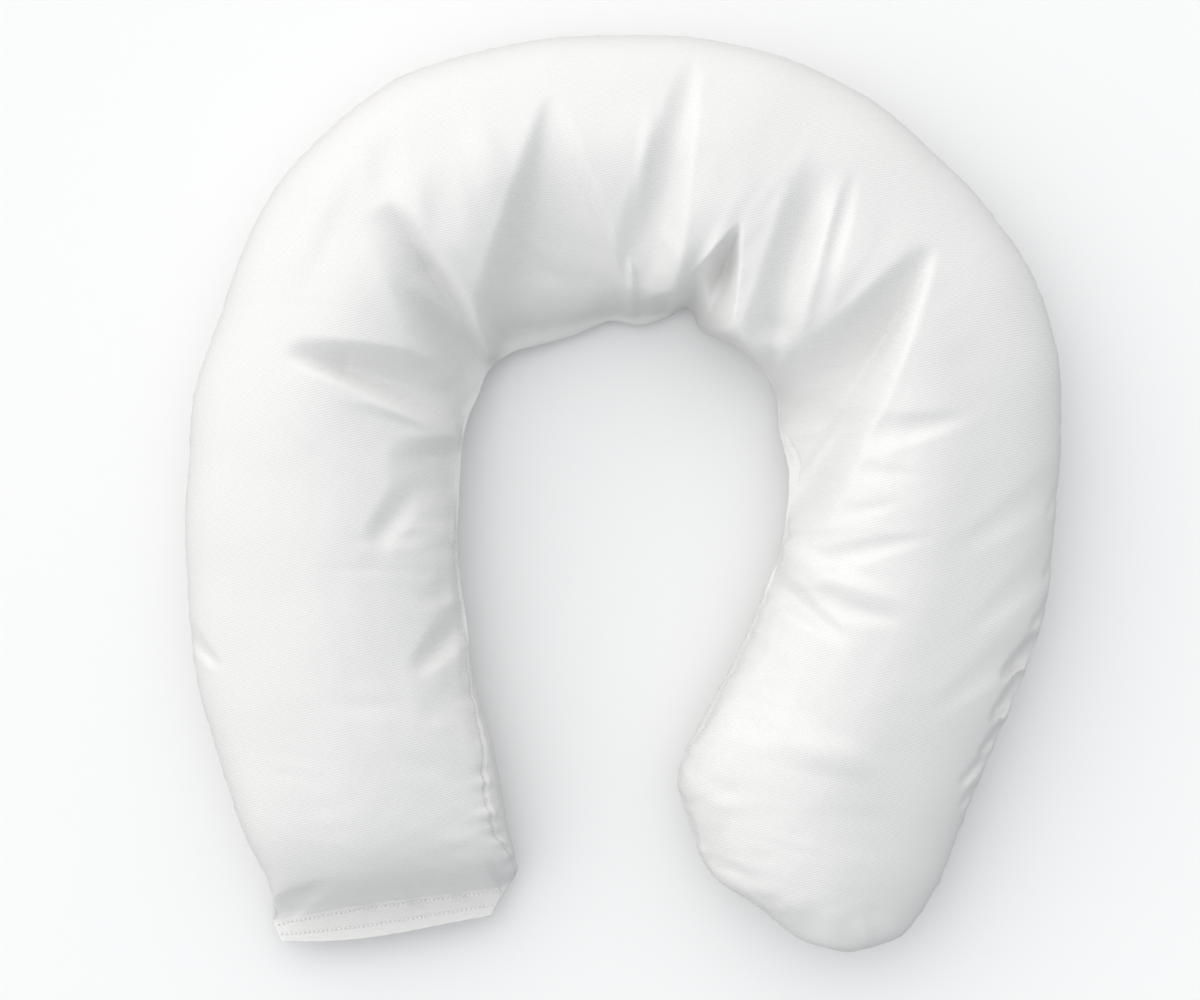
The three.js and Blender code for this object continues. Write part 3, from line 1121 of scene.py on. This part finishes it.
@dataclass
class HemStitching:
    """Two rows of stitches through the hem, on its upper and under side. Sizes are in millimetres.

    lift, arch and tip are shares of the thread's radius: how far a stitch stands off the cloth at its ends, how much
    further at its middle, and the least square of its radius at its ends.
    """

    casing: RollCasing
    pitch: float = 3.2
    length: float = 2.5
    radius: float = 0.8
    lift: float = 0.3
    arch: float = 0.5
    tip: float = 0.05
    sides: int = 6
    rings: int = 5
    margin: float = 3.0
    piece: bpy.types.Object = field(init=False, repr=False)

    def row_points(self, row: StitchRow, upper: bool) -> tuple[np.ndarray, np.ndarray]:
        """The cloth's points and normals along one row, from the inner side to the outer.

        Args:
            row: Which row.
            upper: On the upper side or the under side.

        Returns:
            The points, in metres, and their unit normals.
        """
        grid = self.casing.grid
        station = row.value * 2 * self.casing.steps_per_section
        index, part = int(station), station % 1
        ring = grid[index] * (1 - part) + grid[index + 1] * part
        normal = normals_of(grid[: index + 2])[index]
        _, edge = self.casing.marks(grid.shape[1])
        chosen = slice(0, edge + 1) if upper else slice(edge, None)
        return ring[chosen], normal[chosen]

    def row_stitches(self, row: StitchRow, upper: bool) -> np.ndarray:
        """The stitches of one row: short threads with tapered ends, arched a little over the cloth.

        Along a stitch t goes from 0 to 1, the radius is R (1 - (2 t - 1)^4)^(1/2), and the arch 4 t (1 - t).

        Args:
            row: Which row.
            upper: On the upper side or the under side.

        Returns:
            Points by stitch, ring and side, in metres.
        """
        points, normals = self.row_points(row, upper)
        arc = travelled(points)
        starts = np.arange(self.margin * MM, arc[-1] - self.margin * MM, self.pitch * MM)
        t = np.linspace(0, 1, self.rings)
        place = starts[:, None] + t[None, :] * self.length * MM
        centre = np.stack([np.interp(place, arc, points[:, axis]) for axis in range(3)], axis=-1)
        up = unit(np.stack([np.interp(place, arc, normals[:, axis]) for axis in range(3)], axis=-1))
        side = np.cross(unit(np.gradient(centre, axis=1)), up)
        radius = self.radius * MM * np.sqrt(np.maximum(1 - (2 * t - 1) ** 4, self.tip))
        raised = self.radius * MM * (self.lift + self.arch * 4 * t * (1 - t))
        centre = centre + up * raised[None, :, None]
        turn = np.linspace(0, TURN, self.sides, endpoint=False)
        spoke = side[:, :, None] * np.cos(turn)[:, None] + up[:, :, None] * np.sin(turn)[:, None]
        return centre[:, :, None] + spoke * radius[None, :, None, None]

    def build(self) -> bpy.types.Object:
        """Makes all rows as one mesh.

        Returns:
            The stitching's object.
        """
        stitches = np.concatenate([self.row_stitches(row, upper) for row in StitchRow for upper in (True, False)])
        corners, ends = tube_faces(self.rings, self.sides)
        first = np.arange(len(stitches))[:, None, None] * self.rings * self.sides
        walls = (corners[None] + first).reshape(-1, 4)
        caps = (np.array(ends)[None] + first).reshape(-1, self.sides)
        mesh = bpy.data.meshes.new("hem_stitching")
        mesh.from_pydata(stitches.reshape(-1, 3).tolist(), [], walls.tolist() + caps.tolist())
        mesh.shade_smooth()
        along = np.tile(np.repeat(np.linspace(0, self.length, self.rings), self.sides), len(stitches)) * MM
        round_it = np.tile(np.arange(self.sides) * self.radius, len(stitches) * self.rings) * MM
        add_panel_map(mesh, np.stack([along, round_it], axis=1))
        self.piece = placed("hem_stitching", mesh)
        return self.piece

    def dress(self) -> None:
        """Gives the stitches their thread."""
        self.piece.data.materials.append(THREAD.material())
        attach(self.piece, BODY)
        LOG.info("hem_stitching: %d faces", len(self.piece.data.polygons))


@dataclass(frozen=True)
class Studio:
    """A pale floor, soft light from the upper left and a camera straight above.

    The floor is lighter to the eye than to the light that it throws back, as on a lit table with a white ground.
    """

    floor_size: float = 16.0
    floor_tone: Triple = (0.95, 0.95, 0.95)
    bounce_tone: Triple = (0.45, 0.45, 0.45)
    floor_roughness: float = 0.9
    sky_low: Triple = (0.333, 0.367, 0.399)
    sky_high: Triple = (1.629, 1.61, 1.591)
    sky_from: Triple = (-0.65, 0.76, 0.0)
    backdrop: Triple = (0.9, 0.9, 0.9)
    key_strength: float = 0.15
    key_tone: Triple = (1.0, 0.99, 0.975)
    key_from: Triple = (-0.54, 0.58, 0.60)
    key_spread: float = 1.0
    camera_place: Triple = (-0.0161, -0.00455, 2.045)
    lens: float = 85.7

    def floor(self) -> bpy.types.Object:
        """A square of pale paper.

        Returns:
            The floor's object.
        """
        half = self.floor_size / 2
        mesh = bpy.data.meshes.new("floor")
        mesh.from_pydata([(-half, -half, 0), (half, -half, 0), (half, half, 0), (-half, half, 0)], [], [(0, 1, 2, 3)])
        paper = bpy.data.materials.new("pale_paper")
        paper.use_nodes = True
        board = NodeBoard(paper.node_tree)
        tone = board.mixed(board.seen(), self.bounce_tone, self.floor_tone)
        board.feed(paper.node_tree.nodes["Principled BSDF"], {"Base Color": tone, "Roughness": self.floor_roughness})
        mesh.materials.append(paper)
        return placed("floor", mesh)

    def sky(self) -> bpy.types.World:
        """A soft sky that brightens evenly towards the key, and looks plain behind the object.

        Returns:
            The world.
        """
        world = bpy.data.worlds.new("studio")
        world.use_nodes = True
        board = NodeBoard(world.node_tree)
        place = board.add("ShaderNodeTexCoord").outputs["Generated"]
        both = {0: place, 1: Vector(self.sky_from).normalized()}
        towards = board.add("ShaderNodeVectorMath", both, operation="DOT_PRODUCT").outputs["Value"]
        share = board.math("MULTIPLY", board.math("ADD", towards, 1.0), 0.5)
        tone = board.mixed(share, self.sky_low, self.sky_high)
        board.feed(world.node_tree.nodes["Background"], {"Color": board.mixed(board.seen(), tone, self.backdrop)})
        return world

    def key(self) -> bpy.types.Object:
        """A weak, broad light from the upper left."""
        light = bpy.data.lights.new("key", "SUN")
        light.energy, light.angle, light.color = self.key_strength, self.key_spread, self.key_tone
        key = bpy.data.objects.new("key", light)
        key.location = self.key_from
        key.rotation_euler = (-Vector(self.key_from)).to_track_quat("-Z", "Y").to_euler()
        return key

    def camera(self) -> bpy.types.Object:
        """A camera that looks straight down."""
        camera = bpy.data.objects.new("camera", bpy.data.cameras.new("camera"))
        camera.data.lens = self.lens
        camera.location = self.camera_place
        return camera

    def build(self) -> None:
        """Makes the floor, the lights and the camera."""
        scene = bpy.context.scene
        self.floor()
        scene.world = self.sky()
        key, camera = self.key(), self.camera()
        for item in (key, camera):
            scene.collection.objects.link(item)
        scene.camera = camera
        scene.view_settings.view_transform = "Standard"


def main() -> None:
    """Builds the studio, the casing and its stitching."""
    logging.basicConfig(level=logging.INFO, format="%(name)s: %(message)s")
    Studio().build()
    casing = RollCasing()
    casing.build()
    casing.dress()
    stitching = HemStitching(casing)
    stitching.build()
    stitching.dress()


if __name__ == "__main__":
    main()
